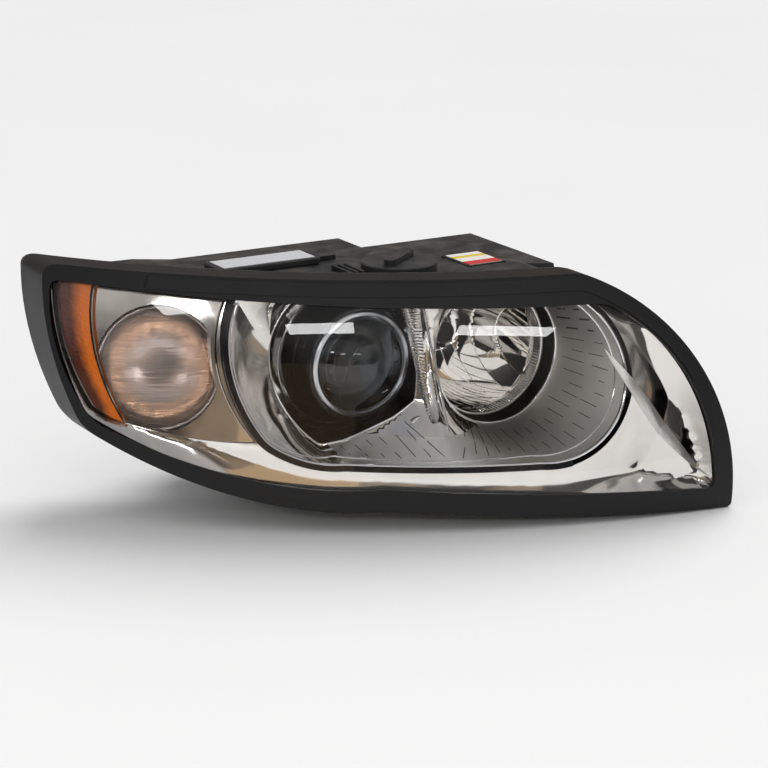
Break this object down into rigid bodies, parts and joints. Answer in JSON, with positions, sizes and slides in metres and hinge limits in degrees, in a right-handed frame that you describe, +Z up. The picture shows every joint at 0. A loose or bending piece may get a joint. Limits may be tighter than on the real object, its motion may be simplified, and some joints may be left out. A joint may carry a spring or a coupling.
{
  "type": "car headlight",
  "caption": "Right-hand car headlight with a projector low beam, reflector high beam, turn signal and amber side marker in a sealed housing with aim adjusters and twist-off rear covers.",
  "frame": {"origin": "centre of the inner fixing hole, on the top of its tab", "axes": "+Z up, -Y the way the beams point, +X towards the middle of the car"},
  "size_m": [0.4264, 0.3087, 0.1774],
  "materials": {
    "clear_cover": "clear polycarbonate with a hard coat",
    "rubber": "soft black rubber",
    "black_frame": "satin black, finely grained",
    "black_trim": "black, half gloss",
    "bezel_chrome": "vacuum-metallised plastic, slightly warm",
    "reflector": "bright metallised reflector",
    "amber": "amber prism reflector",
    "frosted_lens": "clear lens with fine vertical optics",
    "clear_inner": "clear acrylic",
    "lens_glass": "polished optical glass",
    "amber_glass": "amber bulb glass",
    "bulb_glass": "clear bulb glass",
    "barrel_grey": "dark grey die-cast metal",
    "sheet_steel": "pressed zinc-plated steel",
    "spring_steel": "bright spring wire",
    "screw_steel": "zinc-plated",
    "bush_steel": "plated steel sleeve",
    "pin_brass": "tinned brass",
    "motor_black": "black nylon",
    "socket_plastic": "grey heat-proof plastic",
    "inner_plastic": "dark grey filled plastic",
    "natural_nylon": "natural nylon",
    "shield_black": "black heat-proof paint",
    "housing_black": "black moulded plastic, lightly textured",
    "label_silver": "silver foil label, blank",
    "label_white": "white paper label with plain colour bands"
  },
  "bodies": {
    "housing": {"amber_reflector": "amber", "bezel_fin": "clear_inner", "bezel_screws": "screw_steel", "connector_pins": "pin_brass", "connector_socket": "motor_black", "control_unit": "housing_black", "divider_strip": "black_trim", "fixing_bushes": "bush_steel", "housing": "housing_black", "lens_frame": "black_frame", "lens_seal": "rubber", "level_motor": "motor_black", "main_bezel": "bezel_chrome", "outer_bezel": "bezel_chrome", "outer_lens": "clear_cover", "pivot_fork": "sheet_steel", "pivot_pin": "screw_steel", "roof_label": "label_white", "side_adjuster": "inner_plastic", "turn_bezel": "bezel_chrome", "turn_inner_lens": "frosted_lens", "turn_reflector": "reflector", "unit_label": "label_silver", "upper_trim": "black_trim", "vent_caps": "rubber"},
    "aim_ball": {"aim_ball": "natural_nylon"},
    "carrier": {"carrier_frame": "inner_plastic", "rod_sockets": "natural_nylon", "lens_barrel": "barrel_grey", "projector_lens": "lens_glass", "lens_retainer": "black_trim", "projector_shroud": "bezel_chrome", "shutter_frame": "sheet_steel", "shutter_solenoid": "motor_black", "projector_reflector": "reflector", "low_beam_bulb": "bulb_glass", "projector_screws": "screw_steel", "high_beam_reflector": "reflector", "high_bulb_shield": "shield_black"},
    "shutter": {"cutoff_shutter": "sheet_steel"},
    "clip": {"bulb_clip": "spring_steel"},
    "high_socket": {"high_bulb_socket": "socket_plastic", "high_beam_bulb": "bulb_glass"},
    "level_rod": {"level_rod": "natural_nylon"},
    "side_rod": {"side_rod": "screw_steel"},
    "side_knob": {"side_knob": "natural_nylon"},
    "low_cover": {"low_beam_cover": "housing_black", "low_beam_cover_seal": "rubber"},
    "high_cover": {"high_beam_cover": "housing_black", "high_beam_cover_seal": "rubber"},
    "top_cap": {"top_cap": "housing_black", "top_cap_seal": "rubber"},
    "turn_socket": {"turn_socket": "socket_plastic", "turn_bulb": "amber_glass"},
    "marker_socket": {"marker_socket": "socket_plastic", "marker_bulb": "amber_glass"}
  },
  "joints": [
    {"name": "aim_yaw", "type": "hinge", "parent": "housing", "child": "aim_ball", "pos_m": [-0.136, 0.026, 0.068], "axis": [0, 0, 1], "range_deg": [-2, 2]},
    {"name": "aim_pitch", "type": "hinge", "parent": "aim_ball", "child": "carrier", "pos_m": [-0.136, 0.026, 0.068], "axis": [1, 0, 0], "range_deg": [-2, 2]},
    {"name": "level_slide", "type": "slide", "parent": "housing", "child": "level_rod", "axis": [0, 1, 0], "range_m": [-0.0034, 0.0034]},
    {"name": "side_slide", "type": "slide", "parent": "housing", "child": "side_rod", "axis": [0, 1, 0], "range_m": [-0.0032, 0.0032]},
    {"name": "knob_turn", "type": "hinge", "parent": "housing", "child": "side_knob", "pos_m": [-0.224, 0.092, 0.068], "axis": [0, 1, 0], "range_deg": [-170, 170]},
    {"name": "shutter_tip", "type": "hinge", "parent": "carrier", "child": "shutter", "pos_m": [-0.1717, 0.002, -0.0016], "axis": [1, 0, 0], "range_deg": [0, 14], "stiffness_Nm_per_rad": 0.02, "springref_deg": -11.46},
    {"name": "clip_swing", "type": "hinge", "parent": "carrier", "child": "clip", "pos_m": [-0.1717, 0.0643, 0.0504], "axis": [1, 0, 0], "range_deg": [0, 55]},
    {"name": "high_socket_turn", "type": "hinge", "parent": "carrier", "child": "high_socket", "pos_m": [-0.0841, 0.014, 0.034], "axis": [0, 1, 0], "range_deg": [0, 45]},
    {"name": "low_cover_turn", "type": "hinge", "parent": "housing", "child": "low_cover", "pos_m": [-0.1717, 0.092, 0.0284], "axis": [0, 1, 0], "range_deg": [0, 30]},
    {"name": "high_cover_turn", "type": "hinge", "parent": "housing", "child": "high_cover", "pos_m": [-0.0841, 0.056, 0.034], "axis": [0, 1, 0], "range_deg": [0, 30]},
    {"name": "top_cap_turn", "type": "hinge", "parent": "housing", "child": "top_cap", "pos_m": [-0.1355, -0.03, 0.0924], "axis": [0, 0, 1], "range_deg": [0, 30]},
    {"name": "turn_socket_turn", "type": "hinge", "parent": "housing", "child": "turn_socket", "pos_m": [-0.3026, 0.0255, 0.0284], "axis": [0.4535, 0.8529, -0.2588], "range_deg": [0, 45]},
    {"name": "marker_socket_turn", "type": "hinge", "parent": "housing", "child": "marker_socket", "pos_m": [-0.347, 0.092, 0.035], "axis": [0, 1, 0], "range_deg": [0, 45]}
  ],
  "couplings": [
    {"joint": "level_slide", "follows": "aim_pitch", "m_per_rad": 0.094},
    {"joint": "side_slide", "follows": "aim_yaw", "m_per_rad": -0.088},
    {"joint": "knob_turn", "follows": "aim_yaw", "ratio": -80}
  ]
}
